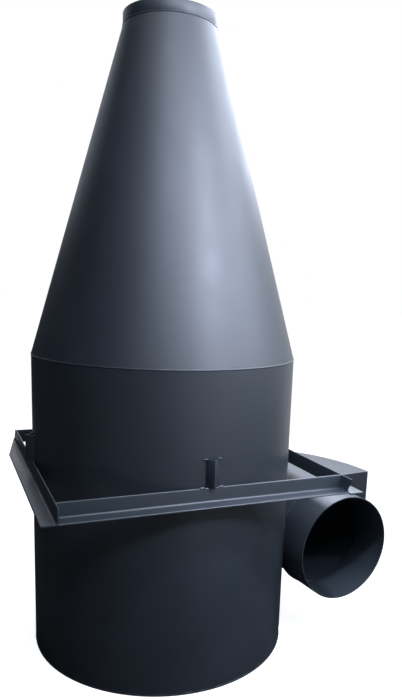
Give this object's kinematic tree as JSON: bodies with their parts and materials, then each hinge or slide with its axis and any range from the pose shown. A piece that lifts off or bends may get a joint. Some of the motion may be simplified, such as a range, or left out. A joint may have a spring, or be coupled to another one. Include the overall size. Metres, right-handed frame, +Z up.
{
  "type": "cyclone separator",
  "caption": "Cyclone dust separator with a round inlet, a scroll, a long cone and a square angle frame, standing upside down on its roof.",
  "frame": {"origin": "on the barrel's axis at the roof plate's outer face, which lies on the floor", "axes": "+Z up along the barrel's axis towards the cone's small end; the inlet opens towards -Y on the +X side"},
  "size_m": [1.4317, 1.133, 2.33],
  "materials": {
    "shell_paint": "semi-gloss",
    "inner_steel": "satin",
    "inlet_paint": "semi-gloss",
    "frame_paint": "semi-gloss"
  },
  "bodies": {
    "root": {"barrel_lower_wall_1": "shell_paint", "barrel_lower_wall_2": "shell_paint", "barrel_lower_wall_3": "shell_paint", "barrel_lower_wall_4": "shell_paint", "barrel_middle_wall_1": "shell_paint", "barrel_middle_wall_2": "shell_paint", "barrel_middle_wall_3": "shell_paint", "barrel_inlet_side_wall": "shell_paint", "barrel_upper_wall_1": "shell_paint", "barrel_upper_wall_2": "shell_paint", "barrel_upper_wall_3": "shell_paint", "barrel_upper_wall_4": "shell_paint", "cone_wall_1": "shell_paint", "cone_wall_2": "shell_paint", "cone_wall_3": "shell_paint", "cone_wall_4": "shell_paint", "dust_outlet_collar": "shell_paint", "roof_plate": "shell_paint", "vortex_finder_half_1": "inner_steel", "vortex_finder_half_2": "inner_steel", "scroll_top_plate": "inlet_paint", "scroll_side_wall_front": "inlet_paint", "scroll_side_wall_rear": "inlet_paint", "scroll_trough_front": "inlet_paint", "scroll_trough_rear": "inlet_paint", "inlet_front_plate": "inlet_paint", "inlet_pipe": "inlet_paint", "frame_bar_right": "frame_paint", "frame_bar_back": "frame_paint", "frame_bar_left": "frame_paint", "frame_bar_front": "frame_paint", "frame_lug_right": "frame_paint", "frame_lug_back": "frame_paint", "frame_lug_left": "frame_paint", "frame_lug_front": "frame_paint"}
  },
  "joints": []
}
